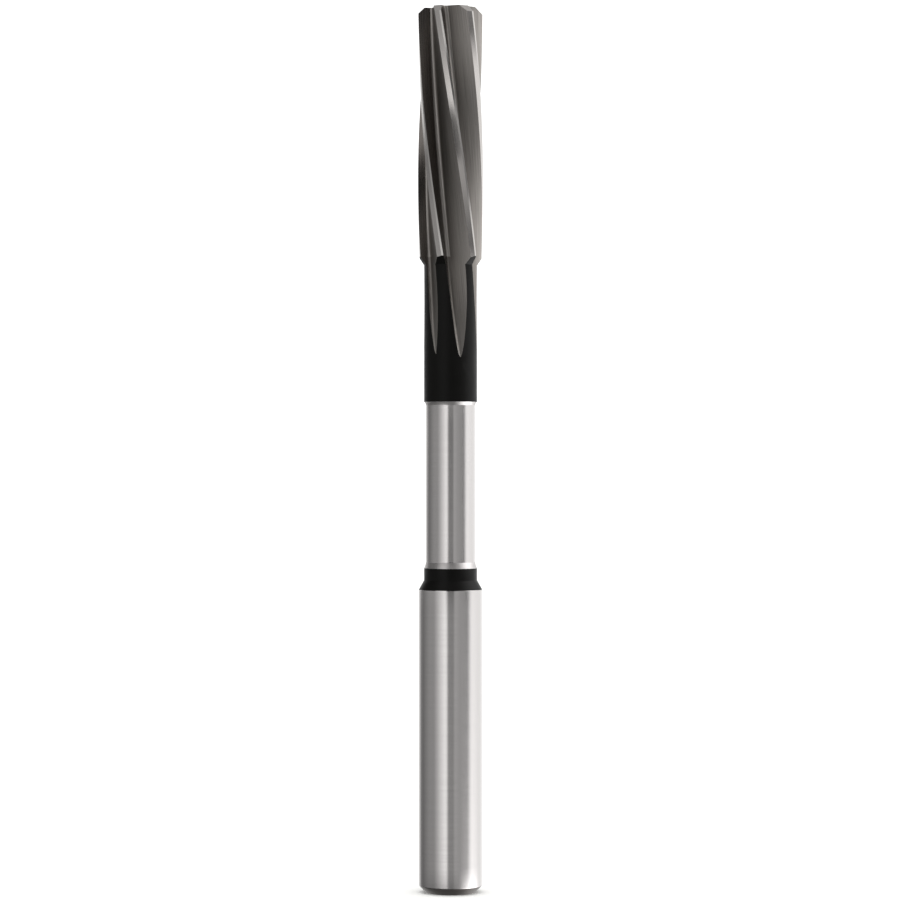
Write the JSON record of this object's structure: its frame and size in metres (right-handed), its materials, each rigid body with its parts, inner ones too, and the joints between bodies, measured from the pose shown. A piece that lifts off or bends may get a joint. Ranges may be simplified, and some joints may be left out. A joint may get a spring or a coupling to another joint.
{
  "type": "machine reamer",
  "caption": "Straight-shank machine reamer: a fluted cutting head with left-hand helical teeth and a bevelled lead, on a slimmer neck and a cylindrical shank.",
  "frame": {"origin": "centre of the shank's flat end face, on which the reamer stands", "axes": "+Z along the axis, from the shank towards the cutting end; the front is seen looking along +Y"},
  "size_m": [0.0092, 0.0092, 0.125],
  "materials": {
    "tool_steel": "ground bright on shank, ground neck and teeth, with black oxide left on the rest of the neck, the cone and the shank's end"
  },
  "bodies": {
    "root": {"reamer": "tool_steel"}
  },
  "joints": []
}
